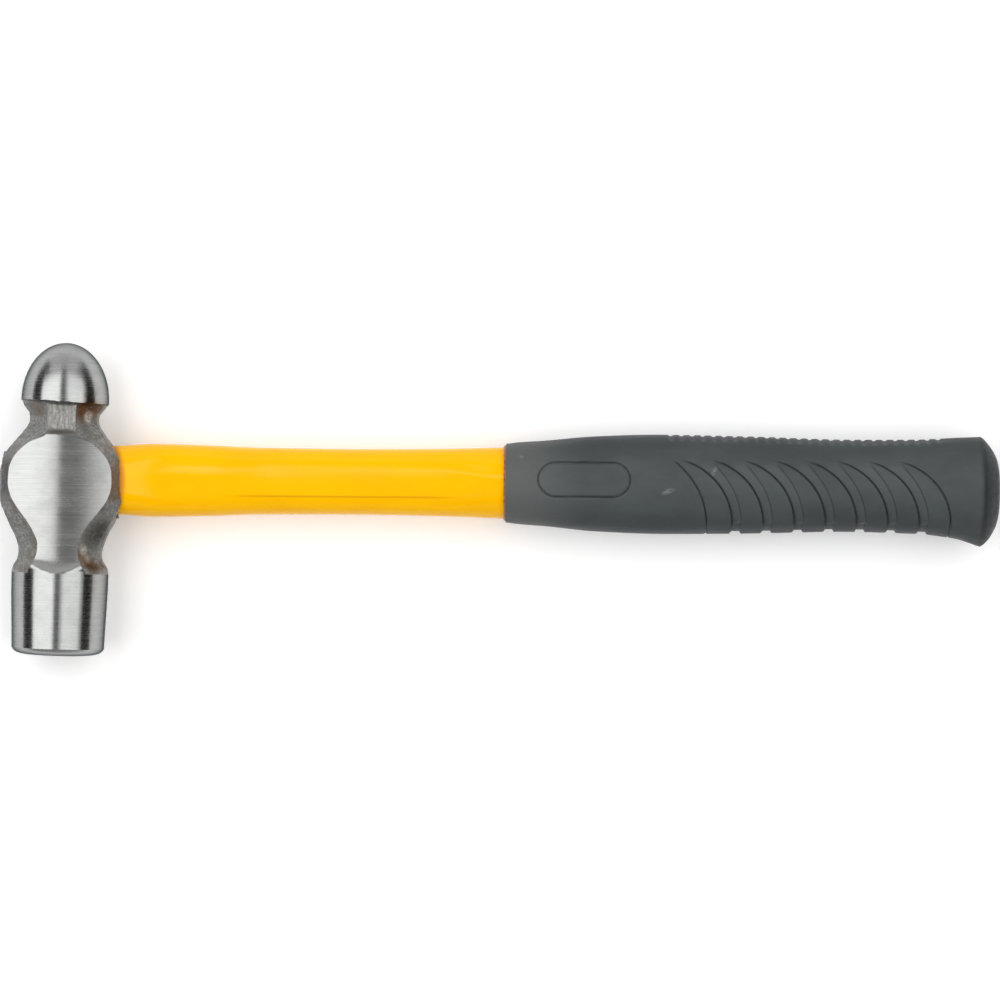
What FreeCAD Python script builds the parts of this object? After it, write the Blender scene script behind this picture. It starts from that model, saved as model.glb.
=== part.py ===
import FreeCAD, Part
import math
import os
import Sketcher
from FreeCAD import Placement, Rotation, Vector

# A 16 oz ball peen hammer with a jacketed fibreglass handle, lying on its side.
# Every piece is built about the eye's centre: X runs along the handle to the butt, Y along the
# head to the peen, and Z is the hammer's own plane of symmetry at 0. Each finished piece is then
# placed so that the origin is under the middle of the hammer, on the surface that it lies on.
# Millimetres and degrees.

SIZES = {
    # head, along its own axis
    "head_lean": 1.3,
    "peen_radius": 14.45,
    "peen_height": 18.9,
    "peen_centre": 26.25,
    "peen_rim": 0.7,
    "undercut_end": 21.9,
    "undercut_radius": 11.3,
    "poll_radius": 15.95,
    "poll_face_radius": 15.3,
    "poll_shoulder": 30.3,
    "poll_start": 26.7,
    "poll_start_radius": 13.0,
    "face_reach": 58.15,
    "face_flat_radius": 11.2,
    "face_crown": 0.4,
    "face_edge": 1.5,
    # cheek and eye
    "cheek_radius": 20.8,
    "cheek_drop": 1.0,
    "cheek_half": 12.6,
    "cheek_bevel_in": 3.6,
    "cheek_bevel_down": 5.4,
    "cheek_root_half": 13.7,
    "cheek_root": 24.3,
    "eye_high": 11.85,
    "eye_wide": 8.75,
    "eye_cutter": 60.0,
    "plug_ball": 20.8,
    "crown_reach": 21.25,
    # rod, jacket and glue
    "rod_high": 9.3,
    "rod_wide": 6.4,
    "rod_head_end": 19.4,
    "rod_butt_end": 297.0,
    "tenon_start": 13.5,
    "jacket_end": 299.0,
    "under_grip": 144.5,
    "jacket_high": 11.75,
    "jacket_wide": 8.8,
    "flute_radius": 700.0,
    "flute_centre": 93.0,
    "flute_depth": 1.3,
    "flute_tilt": 5.6,
    "shaft_side": 8.5,
    "glue_gap": 0.25,
    "bead_start": 145.3,
    "bead_proud": 0.85,
    "bead_length": 0.9,
    # sleeve details
    "badge_centre": 172.5,
    "badge_rise": 1.3,
    "badge_length": 31.9,
    "badge_width": 12.1,
    "badge_line": 0.7,
    "badge_depth": 0.4,
    "rib_start": 200.0,
    "rib_pitch": 3.53,
    "rib_slot": 1.25,
    "rib_low": 12.0,
    "rib_cut_height": 10.0,
    "channel_depth": 1.0,
    "channel_pitch": 10.25,
    "channel_first": 220.7,
    "channel_width": 3.0,
    "channel_foot": 22.0,
    "channel_reach": 18.5,
    "channel_rise": 8.5,
    "channel_bend": 25.0,
    "channel_back_bend": 22.8,
}

# Octagonal forged necks: distance from the eye along the head's axis, and apothem.
UPPER_NECK = {"root": (13.5, 14.0), "flare": (16.7, 11.9), "waist": (20.0, 11.0), "top": (22.5, 11.1)}
LOWER_NECK = {"root": (15.5, 16.0), "flare": (19.9, 14.4), "waist": (23.9, 13.7), "foot": (28.7, 14.8)}

# Oval handle sections: distance from the eye, half height, half width and sag below the axis.
JACKET = {
    "tenon": (13.5, 11.25, 8.15, 0),
    "mouth": (19.4, 11.45, 8.25, 0),
    "swell": (30.0, 12.1, 8.65, 0),
    "fall": (44.5, 11.85, 8.65, 0),
    "waist": (66.0, 11.1, 8.55, 0),
    "middle": (95.0, 10.9, 8.5, 0),
    "rise": (124.0, 11.2, 8.65, 0),
    "seat": (144.5, 11.75, 8.8, 0),
}
SLEEVE = {
    "lip": (146.2, 12.8, 9.9, 0),
    "mouth": (147.7, 13.2, 10.3, 0),
    "front": (159.2, 14.15, 11.1, 0),
    "shoulder": (176.7, 15.75, 12.15, 0),
    "belly": (197.0, 16.4, 12.6, 0),
    "palm": (229.0, 16.0, 12.4, 0),
    "waist": (258.0, 15.25, 11.95, 0),
    "flare": (281.5, 15.6, 12.35, 0.15),
    "heel": (294.0, 16.6, 13.1, 0.5),
    "butt": (302.9, 18.15, 14.15, 1.65),
}
BUTT_CAP = {
    "butt": (302.9, 18.15, 14.15, 1.65),
    "facet": (305.7, 15.55, 11.65, 1.85),
    "dome": (308.2, 11.1, 8.0, 1.65),
    "end": (309.25, 5.8, 4.1, 1.45),
}

CHANNELS = 7
RIB_SLOTS = 26

doc = FreeCAD.newDocument("ball_peen_hammer")
sheet = doc.addObject("Spreadsheet::Sheet", "sizes")
ACROSS_HANDLE = Rotation(Vector(1, 1, 1), 120)  # local X, Y, Z become Y, Z, X
ACROSS_HEAD = Rotation(Vector(1, 0, 0), -90)  # local Z becomes Y
NECK_TURN = Rotation(Vector(0, 0, 1), 22.5)  # a flat, not a corner, faces X and Z
THROUGH = 200.0
CHEEK_TURN = math.radians(20)  # how far the cheek's arc passes its middle, before it is solved


def fill_sheet():
    cells = dict(SIZES)
    for group, table in (("jacket", JACKET), ("sleeve", SLEEVE), ("cap", BUTT_CAP)):
        for name, numbers in table.items():
            for word, number in zip(("place", "high", "wide", "sag"), numbers):
                cells[f"{group}_{name}_{word}"] = number
    for group, table in (("upper", UPPER_NECK), ("lower", LOWER_NECK)):
        for name, numbers in table.items():
            for word, number in zip(("place", "apothem"), numbers):
                cells[f"{group}_{name}_{word}"] = number
    for row, (alias, number) in enumerate(cells.items(), start=1):
        sheet.set(f"A{row}", alias)
        sheet.set(f"B{row}", str(number))
        sheet.setAlias(f"B{row}", alias)
    doc.recompute()


def make(kind, name, **bound):
    """A document object whose properties are bound to expressions on the sheet."""
    thing = doc.addObject(kind, name)
    for prop, expression in bound.items():
        thing.setExpression(prop.replace("__", "."), expression)
    return thing


def boolean(kind, name, base, tool):
    thing = doc.addObject(kind, name)
    thing.Base = base
    thing.Tool = tool
    return thing


def fuse(name, shapes):
    thing = doc.addObject("Part::MultiFuse", name)
    thing.Shapes = shapes
    return thing


def oval(name, place, high, wide, sag="0"):
    """An upright oval across the handle's axis."""
    thing = doc.addObject("Part::Ellipse", name)
    thing.Placement = Placement(Vector(), ACROSS_HANDLE)
    thing.setExpression("MajorRadius", high)
    thing.setExpression("MinorRadius", wide)
    thing.setExpression("Placement.Base.x", place)
    thing.setExpression("Placement.Base.y", f"-({sag})")
    return thing


def loft(name, sections, ruled=False):
    thing = doc.addObject("Part::Loft", name)
    thing.Sections = sections
    thing.Solid = True
    thing.Ruled = ruled
    thing.MaxDegree = 3
    return thing


def oval_loft(name, group, table, shrink="0", ruled=False):
    """A solid through the ovals of one table, each smaller all round by shrink."""
    sections = []
    for station in table:
        cell = f"sizes.{group}_{station}"
        sections.append(
            oval(
                f"{name}_{station}",
                f"{cell}_place",
                f"{cell}_high - {shrink}",
                f"{cell}_wide - {shrink}",
                f"{cell}_sag",
            )
        )
    return loft(name, sections, ruled)


def oval_bar(name, start, end, high, wide):
    """A straight bar of constant oval section along the handle."""
    bar = doc.addObject("Part::Extrusion", name)
    bar.Base = oval(f"{name}_oval", start, high, wide)
    bar.DirMode = "Custom"
    bar.Dir = Vector(1, 0, 0)
    bar.Solid = True
    bar.setExpression("LengthFwd", f"({end}) - ({start})")
    return bar


def neck(name, group, table, side):
    """A forged neck lofted through octagons square to the head's axis."""
    sections = []
    for station in table:
        octagon = doc.addObject("Part::RegularPolygon", f"{name}_{station}")
        octagon.Polygon = 8
        octagon.Placement = Placement(Vector(), ACROSS_HEAD * NECK_TURN)
        octagon.setExpression("Circumradius", f"sizes.{group}_{station}_apothem / cos(22.5 deg)")
        octagon.setExpression("Placement.Base.y", f"{side} * sizes.{group}_{station}_place")
        sections.append(octagon)
    return loft(name, sections, ruled=True)


def new_body(name):
    body = doc.addObject("PartDesign::Body", name)
    plane = next(item for item in body.Origin.OriginFeatures if item.Role == "XY_Plane")
    sketch = body.newObject("Sketcher::SketchObject", f"{name}_sketch")
    sketch.AttachmentSupport = [(plane, "")]
    sketch.MapMode = "FlatFace"
    return body, sketch


def pad(body, sketch, name, length):
    """A pad centred on the sketch's plane."""
    feature = body.newObject("PartDesign::Pad", name)
    feature.Profile = sketch
    feature.Midplane = True
    feature.setExpression("Length", length)
    return feature


def fix(sketch, kind, picks, expression, name):
    """Adds a driving constraint and binds it to the sheet."""
    index = sketch.addConstraint(Sketcher.Constraint(kind, *picks, 1.0))
    sketch.renameConstraint(index, name)
    sketch.setExpression(f"Constraints.{name}", expression)


def chain(sketch, points):
    """Lines through the points, each joined to the next and the last to the first."""
    count = len(points)
    for index, (first, second) in enumerate(zip(points, points[1:] + points[:1])):
        sketch.addGeometry(Part.LineSegment(Vector(*first), Vector(*second)), False)
        if index:
            sketch.addConstraint(Sketcher.Constraint("Coincident", index - 1, 2, index, 1))
    sketch.addConstraint(Sketcher.Constraint("Coincident", count - 1, 2, 0, 1))


def pin(sketch, line, across, along, name):
    """Binds the start of a line: distances from the sketch's origin along X and Y."""
    for kind, expression, word in (("DistanceX", across, "x"), ("DistanceY", along, "y")):
        if expression == "0":
            axis = -2 if kind == "DistanceX" else -1
            sketch.addConstraint(Sketcher.Constraint("PointOnObject", line, 1, axis))
            continue
        fix(sketch, kind, (-1, 1, line, 1), expression, f"{name}_{word}")


def value(name):
    return SIZES[name]


def poll():
    """The turned striking end: shoulder, slight taper, bevelled edge and a flat face."""
    body, sketch = new_body("poll")
    outline = [
        ("start_axis", "0", "-sizes.poll_start"),
        ("start", "sizes.poll_start_radius", "-sizes.poll_start"),
        ("shoulder", "sizes.poll_radius", "-sizes.poll_shoulder"),
        ("edge", "sizes.poll_face_radius", "-(sizes.face_reach - sizes.face_crown - sizes.face_edge)"),
        ("rim", "sizes.poll_face_radius - sizes.face_edge", "-(sizes.face_reach - sizes.face_crown)"),
        ("flat", "sizes.face_flat_radius", "-sizes.face_reach"),
        ("centre", "0", "-sizes.face_reach"),
    ]
    reach = value("face_reach")
    chain(
        sketch,
        [
            (0, -value("poll_start")),
            (value("poll_start_radius"), -value("poll_start")),
            (value("poll_radius"), -value("poll_shoulder")),
            (value("poll_face_radius"), -reach + value("face_crown") + value("face_edge")),
            (value("poll_face_radius") - value("face_edge"), -reach + value("face_crown")),
            (value("face_flat_radius"), -reach),
            (0, -reach),
        ],
    )
    for line, (name, across, along) in enumerate(outline):
        pin(sketch, line, across, along, name)
    turned = body.newObject("PartDesign::Revolution", "poll_turned")
    turned.Profile = sketch
    turned.ReferenceAxis = (sketch, ["V_Axis"])
    turned.Angle = 360
    return body


def cheek():
    """The forged cheek round the eye: a pear-shaped outline drafted in to two flat faces."""
    body, sketch = new_body("cheek")
    radius = value("cheek_radius")
    drop = value("cheek_drop")
    root = value("cheek_root")
    half = value("cheek_root_half")
    middle = Vector(0, -drop, 0)
    circle = Part.Circle(middle, Vector(0, 0, 1), radius)
    arc = sketch.addGeometry(Part.ArcOfCircle(circle, -CHEEK_TURN, math.pi + CHEEK_TURN), False)
    end = Vector(radius * math.cos(CHEEK_TURN), -drop - radius * math.sin(CHEEK_TURN), 0)
    far_end = Vector(-end.x, end.y, 0)
    right = sketch.addGeometry(Part.LineSegment(end, Vector(half, -root, 0)), False)
    left = sketch.addGeometry(Part.LineSegment(far_end, Vector(-half, -root, 0)), False)
    foot = sketch.addGeometry(Part.LineSegment(Vector(half, -root, 0), Vector(-half, -root, 0)), False)
    sketch.addConstraint(Sketcher.Constraint("PointOnObject", arc, 3, -2))
    sketch.addConstraint(Sketcher.Constraint("Tangent", right, 1, arc, 1))
    sketch.addConstraint(Sketcher.Constraint("Tangent", left, 1, arc, 2))
    sketch.addConstraint(Sketcher.Constraint("Coincident", right, 2, foot, 1))
    sketch.addConstraint(Sketcher.Constraint("Coincident", left, 2, foot, 2))
    sketch.addConstraint(Sketcher.Constraint("Symmetric", foot, 1, foot, 2, -2))
    fix(sketch, "Radius", (arc,), "sizes.cheek_radius", "round")
    fix(sketch, "DistanceY", (-1, 1, arc, 3), "-sizes.cheek_drop", "drop")
    fix(sketch, "DistanceY", (-1, 1, foot, 1), "-sizes.cheek_root", "root")
    fix(sketch, "DistanceX", (-1, 1, foot, 1), "sizes.cheek_root_half", "foot")
    block = pad(body, sketch, "cheek_block", "2 * sizes.cheek_half")
    doc.recompute()
    faces = enumerate(block.Shape.Faces, start=1)
    flats = [f"Face{number}" for number, face in faces if abs(face.normalAt(0, 0).z) > 0.99]
    bevel = body.newObject("PartDesign::Chamfer", "cheek_bevel")
    bevel.Base = (block, flats)
    bevel.ChamferType = "Two distances"
    bevel.setExpression("Size", "sizes.cheek_bevel_in")
    bevel.setExpression("Size2", "sizes.cheek_bevel_down")
    body.Tip = bevel
    return body


def hammer_head():
    """Peen, necks, cheek and poll as one forging, leaning on the handle, with the eye cut."""
    dome = make(
        "Part::Ellipsoid",
        "peen_dome",
        Radius1="sizes.peen_height",
        Radius2="sizes.peen_radius",
        Radius3="sizes.peen_radius",
        Placement__Base__y="sizes.peen_centre",
    )
    dome.Angle1 = 0
    dome.Placement.Rotation = ACROSS_HEAD
    rim = make(
        "Part::Cylinder",
        "peen_rim",
        Radius="sizes.peen_radius",
        Height="sizes.peen_rim",
        Placement__Base__y="sizes.peen_centre - sizes.peen_rim",
    )
    rim.Placement.Rotation = ACROSS_HEAD
    undercut = make(
        "Part::Cone",
        "peen_undercut",
        Radius1="sizes.undercut_radius",
        Radius2="sizes.peen_radius",
        Height="sizes.peen_centre - sizes.peen_rim - sizes.undercut_end",
        Placement__Base__y="sizes.undercut_end",
    )
    undercut.Placement.Rotation = ACROSS_HEAD
    blank = fuse(
        "forging",
        [
            poll(),
            neck("lower_neck", "lower", LOWER_NECK, "-1"),
            cheek(),
            neck("upper_neck", "upper", UPPER_NECK, "1"),
            undercut,
            rim,
            dome,
        ],
    )
    blank.Placement = Placement(Vector(), Rotation(Vector(0, 0, 1), -1))
    blank.setExpression("Placement.Rotation.Angle", "-sizes.head_lean")
    eye = oval_bar(
        "eye", "-sizes.eye_cutter / 2", "sizes.eye_cutter / 2", "sizes.eye_high", "sizes.eye_wide"
    )
    return boolean("Part::Cut", "hammer_head", blank, eye)


def rod(name):
    return oval_bar(name, "-sizes.rod_head_end", "sizes.rod_butt_end", "sizes.rod_high", "sizes.rod_wide")


def jacket_outside(name):
    """The jacket's outer form: the shaped shaft, then the straight part under the sleeve."""
    shaft = oval_loft(f"{name}_shaft", "jacket", JACKET)
    seat = oval_bar(
        f"{name}_seat", "sizes.under_grip", "sizes.jacket_end", "sizes.jacket_high", "sizes.jacket_wide"
    )
    return fuse(name, [shaft, seat])


def flute(name, side):
    """A very large cylinder, tilted a little, that scoops a long flat out of one side of the shaft."""
    scoop = make(
        "Part::Cylinder",
        name,
        Radius="sizes.flute_radius",
        Placement__Base__x="sizes.flute_centre",
        Placement__Base__z=f"{side} * (sizes.shaft_side - sizes.flute_depth + sizes.flute_radius)",
    )
    scoop.Height = THROUGH
    scoop.Placement.Rotation = ACROSS_HEAD
    scoop.setExpression("Placement.Rotation.Angle", f"90 - {side} * sizes.flute_tilt")
    return scoop


def handle_jacket(jacket_form, rod_form):
    flutes = fuse("flutes", [flute("flute_up", "1"), flute("flute_down", "-1")])
    fluted = boolean("Part::Cut", "fluted_jacket", jacket_form, flutes)
    return boolean("Part::Cut", "handle_jacket", fluted, rod_form)


def plug_ball(name, side):
    """The ball whose surface closes the eye flush with the cheek's round side."""
    return make(
        "Part::Sphere",
        name,
        Radius="sizes.plug_ball",
        Placement__Base__x=f"{side} * (sizes.crown_reach - sizes.plug_ball)",
        Placement__Base__y="-sizes.cheek_drop",
    )


def eye_filling(name, start, end, side):
    filling = oval_bar(f"{name}_bar", start, end, "sizes.eye_high", "sizes.eye_wide")
    return boolean("Part::Common", f"{name}_fill", filling, plug_ball(f"{name}_ball", side))


def eye_resin(rod_form):
    filling = eye_filling("resin", "-sizes.eye_cutter / 2", "sizes.tenon_start", "-1")
    return boolean("Part::Cut", "eye_resin", filling, rod_form)


def eye_seal_ring(jacket_form):
    filling = eye_filling("seal", "sizes.tenon_start", "sizes.eye_cutter / 2", "1")
    return boolean("Part::Cut", "eye_seal_ring", filling, jacket_form)


def glue_outside():
    """A thin cup of glue round the jacket, with a bead squeezed out at the sleeve's mouth."""
    cup = oval_bar(
        "glue_cup",
        "sizes.bead_start",
        "sizes.jacket_end + sizes.glue_gap",
        "sizes.jacket_high + sizes.glue_gap",
        "sizes.jacket_wide + sizes.glue_gap",
    )
    bead = oval_bar(
        "glue_bead",
        "sizes.bead_start",
        "sizes.bead_start + sizes.bead_length",
        "sizes.jacket_high + sizes.bead_proud",
        "sizes.jacket_wide + sizes.bead_proud",
    )
    return fuse("glue_form", [cup, bead])


def arc_middle(start, end, radius):
    """The point half way along an arc between two points, which bulges towards +X."""
    chord = end - start
    sagitta = radius - math.sqrt(radius**2 - (chord.Length / 2) ** 2)
    return (start + end) / 2 + Vector(chord.y, -chord.x, 0).normalize() * sagitta


def engrave(name, sleeve, cutters, depth):
    """Cuts into the sleeve to the same depth all over, by sparing what lies deeper."""
    deeper = oval_loft(f"{name}_floor", "sleeve", SLEEVE, shrink=depth)
    return boolean("Part::Cut", name, sleeve, boolean("Part::Cut", f"{name}_tool", cutters, deeper))


def pattern(body, first, name, count, pitch):
    """Repeats a feature of a body along the handle."""
    rows = body.newObject("PartDesign::LinearPattern", name)
    rows.Originals = [first]
    axis = next(item for item in body.Origin.OriginFeatures if item.Role == "X_Axis")
    rows.Direction = (axis, [""])
    rows.Occurrences = count
    rows.setExpression("Length", f"{pitch} * {count - 1}")
    body.Tip = rows


def channel_cutters():
    """Crescent bands: each leaves the sleeve's lower edge upright and bends over to the mouth."""
    body, sketch = new_body("channel_cutters")
    first = value("channel_first")
    foot_y = -value("channel_foot")
    low = Vector(first, foot_y, 0)
    low_back = Vector(first + value("channel_width"), foot_y, 0)
    tip = Vector(first - value("channel_reach"), value("channel_rise"), 0)
    bend = arc_middle(low, tip, value("channel_bend"))
    bend_back = arc_middle(low_back, tip, value("channel_back_bend"))
    outer = sketch.addGeometry(Part.Arc(low, bend, tip), False)
    inner = sketch.addGeometry(Part.Arc(low_back, bend_back, tip), False)
    foot = sketch.addGeometry(Part.LineSegment(low, low_back), False)
    sketch.addConstraint(Sketcher.Constraint("Coincident", outer, 1, foot, 1))
    sketch.addConstraint(Sketcher.Constraint("Coincident", inner, 1, foot, 2))
    sketch.addConstraint(Sketcher.Constraint("Coincident", outer, 2, inner, 2))
    sketch.addConstraint(Sketcher.Constraint("Horizontal", foot))
    pin(sketch, foot, "sizes.channel_first", "-sizes.channel_foot", "foot")
    fix(sketch, "DistanceX", (foot, 1, foot, 2), "sizes.channel_width", "width")
    fix(sketch, "DistanceX", (outer, 2, foot, 1), "sizes.channel_reach", "reach")
    fix(sketch, "DistanceY", (foot, 1, outer, 2), "sizes.channel_foot + sizes.channel_rise", "rise")
    fix(sketch, "Radius", (outer,), "sizes.channel_bend", "bend")
    fix(sketch, "Radius", (inner,), "sizes.channel_back_bend", "back_bend")
    band = pad(body, sketch, "channel", "2 * sizes.sleeve_butt_wide")
    doc.recompute()
    pattern(body, band, "channel_row", CHANNELS, "sizes.channel_pitch")
    return body


def rib_cutters():
    """Narrow slots across the sleeve's upper edge that leave a row of small ribs."""
    body, sketch = new_body("rib_cutters")
    left = value("rib_start")
    right = left + value("rib_slot")
    low = value("rib_low")
    high = low + value("rib_cut_height")
    chain(sketch, [(left, low), (right, low), (right, high), (left, high)])
    for line, kind in enumerate(("Horizontal", "Vertical", "Horizontal", "Vertical")):
        sketch.addConstraint(Sketcher.Constraint(kind, line))
    pin(sketch, 0, "sizes.rib_start", "sizes.rib_low", "corner")
    fix(sketch, "DistanceX", (0, 1, 0, 2), "sizes.rib_slot", "slot")
    fix(sketch, "DistanceY", (1, 1, 1, 2), "sizes.rib_cut_height", "tall")
    slot = pad(body, sketch, "rib_slot", "2 * sizes.sleeve_butt_wide")
    doc.recompute()
    pattern(body, slot, "rib_row", RIB_SLOTS, "sizes.rib_pitch")
    return body


def stadium(name, grow):
    """A long flat stadium through the sleeve, bigger all round by grow."""
    round_half = f"(sizes.badge_width / 2 + {grow})"
    straight = "(sizes.badge_length - sizes.badge_width)"
    ends = []
    for word, side in (("front", "-1"), ("back", "1")):
        end = make(
            "Part::Cylinder",
            f"{name}_{word}",
            Radius=round_half,
            Placement__Base__x=f"sizes.badge_centre + {side} * {straight} / 2",
            Placement__Base__y="sizes.badge_rise",
        )
        end.Height = THROUGH
        end.Placement.Base.z = -THROUGH / 2
        ends.append(end)
    middle = make(
        "Part::Box",
        f"{name}_middle",
        Length=straight,
        Width=f"2 * {round_half}",
        Placement__Base__x=f"sizes.badge_centre - {straight} / 2",
        Placement__Base__y=f"sizes.badge_rise - {round_half}",
    )
    middle.Height = THROUGH
    middle.Placement.Base.z = -THROUGH / 2
    return fuse(name, [*ends, middle])


def grip_sleeve(glue_form):
    """The rubber sleeve: closed domed butt, badge outline, ribs and crescent channels."""
    barrel = oval_loft("sleeve_barrel", "sleeve", SLEEVE)
    form = fuse("sleeve_form", [barrel, oval_loft("butt_cap", "cap", BUTT_CAP, ruled=True)])
    badge_ring = boolean(
        "Part::Cut", "badge_ring", stadium("badge_out", "0"), stadium("badge_in", "-sizes.badge_line")
    )
    bored = boolean("Part::Cut", "bored_sleeve", form, glue_form)
    badged = engrave("badged_sleeve", bored, badge_ring, "sizes.badge_depth")
    ribbed = engrave("ribbed_sleeve", badged, rib_cutters(), "sizes.badge_depth")
    return engrave("grip_sleeve", ribbed, channel_cutters(), "sizes.channel_depth")


def place(piece):
    """Moves a finished piece from the eye's centre to the row's origin."""
    piece.setExpression("Placement.Base.x", "(sizes.crown_reach - sizes.cap_end_place) / 2")
    piece.setExpression("Placement.Base.y", "(sizes.face_reach - sizes.peen_centre - sizes.peen_height) / 2")
    piece.setExpression("Placement.Base.z", "sizes.poll_radius")


def check(pieces):
    """Stops on any object that failed to build and on any piece that isn't one valid solid."""
    failed = [item.Name for item in doc.Objects if {"Invalid", "Error"} & set(item.State)]
    if failed:
        raise RuntimeError(f"not built: {failed}")
    for piece in pieces:
        shape = piece.Shape
        if shape.isNull() or not shape.isValid() or len(shape.Solids) != 1:
            raise RuntimeError(f"{piece.Label} isn't one valid solid")
        print(f"{piece.Label}: {shape.Volume:.0f} mm3, {shape.BoundBox}")


fill_sheet()
rod_form = rod("rod_form")
jacket_form = jacket_outside("jacket_form")
glue_form = glue_outside()
finished = [
    hammer_head(),
    rod("handle_core"),
    handle_jacket(jacket_form, rod_form),
    eye_resin(rod_form),
    eye_seal_ring(jacket_form),
    grip_sleeve(glue_form),
    boolean("Part::Cut", "grip_adhesive", glue_form, jacket_form),
]
for piece in finished:
    place(piece)
doc.recompute()
check(finished)
os.makedirs("parts", exist_ok=True)
for piece in finished:
    piece.Shape.exportStep(f"parts/{piece.Label}.step")
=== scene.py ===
import math

import bmesh
import bpy
import numpy as np
from mathutils import Euler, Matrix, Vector, noise


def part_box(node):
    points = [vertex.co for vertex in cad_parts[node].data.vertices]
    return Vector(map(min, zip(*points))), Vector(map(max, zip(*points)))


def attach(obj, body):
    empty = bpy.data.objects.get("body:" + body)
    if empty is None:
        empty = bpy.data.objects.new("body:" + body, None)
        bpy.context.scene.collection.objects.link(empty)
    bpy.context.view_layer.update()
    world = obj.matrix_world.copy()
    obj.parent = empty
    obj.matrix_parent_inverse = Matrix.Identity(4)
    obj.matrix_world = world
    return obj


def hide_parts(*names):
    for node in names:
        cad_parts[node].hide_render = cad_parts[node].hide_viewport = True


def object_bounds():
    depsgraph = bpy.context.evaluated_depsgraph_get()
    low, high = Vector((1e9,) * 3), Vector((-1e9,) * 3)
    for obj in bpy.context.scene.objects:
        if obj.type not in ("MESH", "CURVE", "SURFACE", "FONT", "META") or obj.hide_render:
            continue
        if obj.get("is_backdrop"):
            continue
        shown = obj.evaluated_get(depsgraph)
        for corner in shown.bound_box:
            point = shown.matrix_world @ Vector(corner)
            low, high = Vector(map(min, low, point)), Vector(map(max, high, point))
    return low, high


# A 16 oz ball peen hammer with a jacketed fibreglass handle, lying on its side.
# Shapes are worked out in millimetres about the eye's centre: X runs along the handle to the
# butt, Y along the head to the peen, Z up. to_row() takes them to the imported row's frame.

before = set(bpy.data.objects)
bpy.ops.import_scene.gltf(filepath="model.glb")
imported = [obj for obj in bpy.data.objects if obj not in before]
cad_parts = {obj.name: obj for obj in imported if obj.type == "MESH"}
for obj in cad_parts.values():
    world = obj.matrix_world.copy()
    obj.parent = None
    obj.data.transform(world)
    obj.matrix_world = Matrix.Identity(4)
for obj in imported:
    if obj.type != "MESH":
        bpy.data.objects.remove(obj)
cad_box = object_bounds()

head_low, head_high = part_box("hammer_head")
core_low, core_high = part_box("handle_core")
EYE = Vector(
    (
        (head_low.x + head_high.x) / 2,
        (core_low.y + core_high.y) / 2,
        (core_low.z + core_high.z) / 2,
    )
)
MM = 0.001
HEAD_LEAN = math.radians(1.3)

# Head, along its own axis: distance from the eye towards the peen, then the size there.
SIDE = [  # half width of the silhouette
    (-30.3, 15.95), (-29.0, 15.5), (-27.4, 14.2), (-25, 13.45), (-22.5, 13.5), (-20, 14.3),
    (-17.1, 15.6), (-13.1, 17.5), (-8.15, 19.65), (-5, 20.45), (-1, 20.8), (3, 20.6),
    (7.0, 19.05), (10.3, 17.15), (13.0, 14.85), (15.0, 13.3), (17.6, 11.6), (20, 11.0),
    (21.9, 11.35),
]
CHEEK_EDGE = [  # half width of the ground face
    (-30.3, 9.3), (-28.6, 8.3), (-26, 7.2), (-23.5, 6.6), (-21.3, 6.55), (-18.1, 7.7),
    (-14.1, 10.1), (-9.7, 13.5), (-5.6, 16.0), (-1.3, 17.0), (2.9, 16.8), (6.8, 15.4),
    (8.7, 14.0), (12.1, 10.1), (14.66, 4.9), (16.6, 4.75), (20, 4.56), (21.9, 4.7),
]
CROWN_HEIGHT = [  # height of the top surface over the middle plane
    (-22, 12.6), (14.66, 12.6), (16.2, 11.35), (18, 11.0), (20, 10.95), (24.3, 11.25),
    (24.95, 11.9), (25.55, 14.25),
]
WHEEL_RADIUS = 12.9  # of the grinding wheel, where the ground strip runs up to the poll
WHEEL_START = -22.0
FLANK_HEIGHT = [  # height where the upright flank turns into the bevel
    (-30.3, 6.1), (-27, 5.8), (-21, 5.7), (-14, 6.4), (-8, 7.1), (8, 7.1), (13, 6.0),
    (16.5, 5.0), (20, 4.56), (21.9, 4.7),
]
CROWN_RADIUS = 115.0  # of the ground face, across the head
RIDGE_PLACE = 0.3
RIDGE_TURN = 1.2  # degrees that the face turns at its soft ridge, to each side
RIDGE_SOFT = 1.5  # half width of that turn
GRIND_TOP = 14.66  # upper end of the ground face
POLL_SHOULDER = -30.8
UNDERCUT_END = 21.9
PEEN_RIM = 25.55
PEEN_CENTRE = 26.25
PEEN_RADIUS = 14.45
PEEN_HEIGHT = 18.9
POLL_RADIUS = 15.95
POLL_SWELL = 0.7  # how much wider the poll is at its shoulder than at its face
FACE_EDGE = [  # radius of the striking face's rounded edge
    (-58.15, 0.5), (-58.1, 6.0), (-57.75, 11.4), (-57.35, 13.2), (-56.7, 14.45), (-55.6, 15.25),
]
FILED_FROM = 16.6  # the filed flat between cheek and peen
FILED_TO = 25.0
POCKET_DEPTH = 1.5
POCKET_REACH = 3  # columns of the flank that the pocket takes in
RIM_TORN = 0.28  # how far the peen's torn lower edge wanders
RIM_SLOPE = 0.035  # and how much that edge drops towards the handle
EYE_HIGH = 11.85
EYE_WIDE = 8.75

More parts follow.
